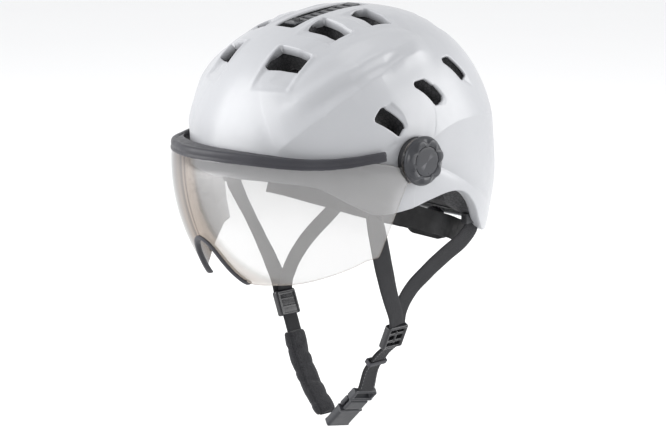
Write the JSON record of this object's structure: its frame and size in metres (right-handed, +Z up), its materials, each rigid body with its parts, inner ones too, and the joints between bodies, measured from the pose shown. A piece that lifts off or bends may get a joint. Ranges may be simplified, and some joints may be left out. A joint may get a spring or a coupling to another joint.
{
  "type": "visor bicycle helmet",
  "caption": "Urban bicycle helmet with flip-up wraparound visor, vented crown, nape fit dial, webbing straps with dividers, chin pad and magnetic buckle.",
  "frame": {"origin": "midway between the visor pivots, where the wearer's head centre sits", "axes": "+Z up through the crown, -Y forwards, +X to the wearer's left along the visor pivots"},
  "size_m": [0.2414, 0.2816, 0.3533],
  "materials": {
    "shell_skin": "pearl white satin gloss",
    "foam": "dark grey moulded foam bead",
    "dark_plastic": "dark grey fine texture",
    "satin_dark_plastic": "dark grey satin",
    "lens": "smoke mirrored polycarbonate",
    "rubber": "matt black",
    "metal": "plated",
    "webbing": "charcoal woven polyester",
    "padding": "charcoal brushed knit over foam"
  },
  "bodies": {
    "helmet": {"outer_shell": "shell_skin", "eps_front": "foam", "eps_back": "foam", "vent_frame": "dark_plastic", "head_ring": "dark_plastic", "brow_pad": "padding", "housing_front": "dark_plastic", "housing_back": "dark_plastic", "housing_screws": "metal", "chin_pad": "padding", "strap_keeper": "rubber", "buckle_base": "satin_dark_plastic", "buckle_clip": "satin_dark_plastic", "buckle_magnet_base": "metal", "buckle_magnet_clip": "metal", "visor_bush_left": "dark_plastic", "spring_washer_left": "metal", "insert_nut_left": "metal", "crown_pad_left": "padding", "side_pad_left": "padding", "strap_anchor_front_left": "dark_plastic", "strap_anchor_rear_left": "dark_plastic", "front_strap_left": "webbing", "rear_strap_left": "webbing", "lower_strap_left": "webbing", "divider_left": "dark_plastic", "visor_bush_right": "dark_plastic", "spring_washer_right": "metal", "insert_nut_right": "metal", "crown_pad_right": "padding", "side_pad_right": "padding", "strap_anchor_front_right": "dark_plastic", "strap_anchor_rear_right": "dark_plastic", "front_strap_right": "webbing", "rear_strap_right": "webbing", "lower_strap_right": "webbing", "divider_right": "dark_plastic"},
    "visor": {"visor_lens": "lens", "visor_seal": "rubber", "nose_trim": "rubber", "grommet_left": "rubber", "grommet_right": "rubber"},
    "knob_left": {"knob_left": "satin_dark_plastic", "knob_cap_left": "satin_dark_plastic", "stud_left": "metal"},
    "knob_right": {"knob_right": "satin_dark_plastic", "knob_cap_right": "satin_dark_plastic", "stud_right": "metal"},
    "vent_shutter": {"vent_slider": "satin_dark_plastic"},
    "dial": {"fit_dial": "dark_plastic", "dial_grip": "rubber", "pinion": "metal"},
    "band_left": {"band_left": "dark_plastic"},
    "band_right": {"band_right": "dark_plastic"},
    "release": {"release_tab": "satin_dark_plastic"}
  },
  "joints": [
    {"name": "visor_pivot", "type": "hinge", "parent": "helmet", "child": "visor", "pos_m": [0, 0, 0], "axis": [-1, 0, 0], "range_deg": [0, 62]},
    {"name": "knob_left_turn", "type": "hinge", "parent": "helmet", "child": "knob_left", "pos_m": [0.115, 0, 0], "axis": [1, 0, 0], "range_deg": [0, 90]},
    {"name": "knob_right_turn", "type": "hinge", "parent": "helmet", "child": "knob_right", "pos_m": [-0.115, 0, 0], "axis": [-1, 0, 0], "range_deg": [0, 90]},
    {"name": "vent_slide", "type": "slide", "parent": "helmet", "child": "vent_shutter", "axis": [0, 0.9863, 0.165], "range_m": [0, 0.0042]},
    {"name": "dial_turn", "type": "hinge", "parent": "helmet", "child": "dial", "pos_m": [0, 0.115, -0.084], "axis": [0, -1, 0], "range_deg": [0, 150]},
    {"name": "band_left_slide", "type": "slide", "parent": "helmet", "child": "band_left", "axis": [-1, 0, 0], "range_m": [0, 0.0098]},
    {"name": "band_right_slide", "type": "slide", "parent": "helmet", "child": "band_right", "axis": [1, 0, 0], "range_m": [0, 0.0098]},
    {"name": "release_slide", "type": "slide", "parent": "helmet", "child": "release", "axis": [-0.7071, 0, -0.7071], "range_m": [0, 0.0025], "stiffness_N_per_m": 300, "springref_m": -0.0005}
  ],
  "couplings": [
    {"joint": "dial_turn", "follows": "band_left_slide", "rad_per_m": 250},
    {"joint": "band_right_slide", "follows": "band_left_slide", "ratio": 1}
  ]
}
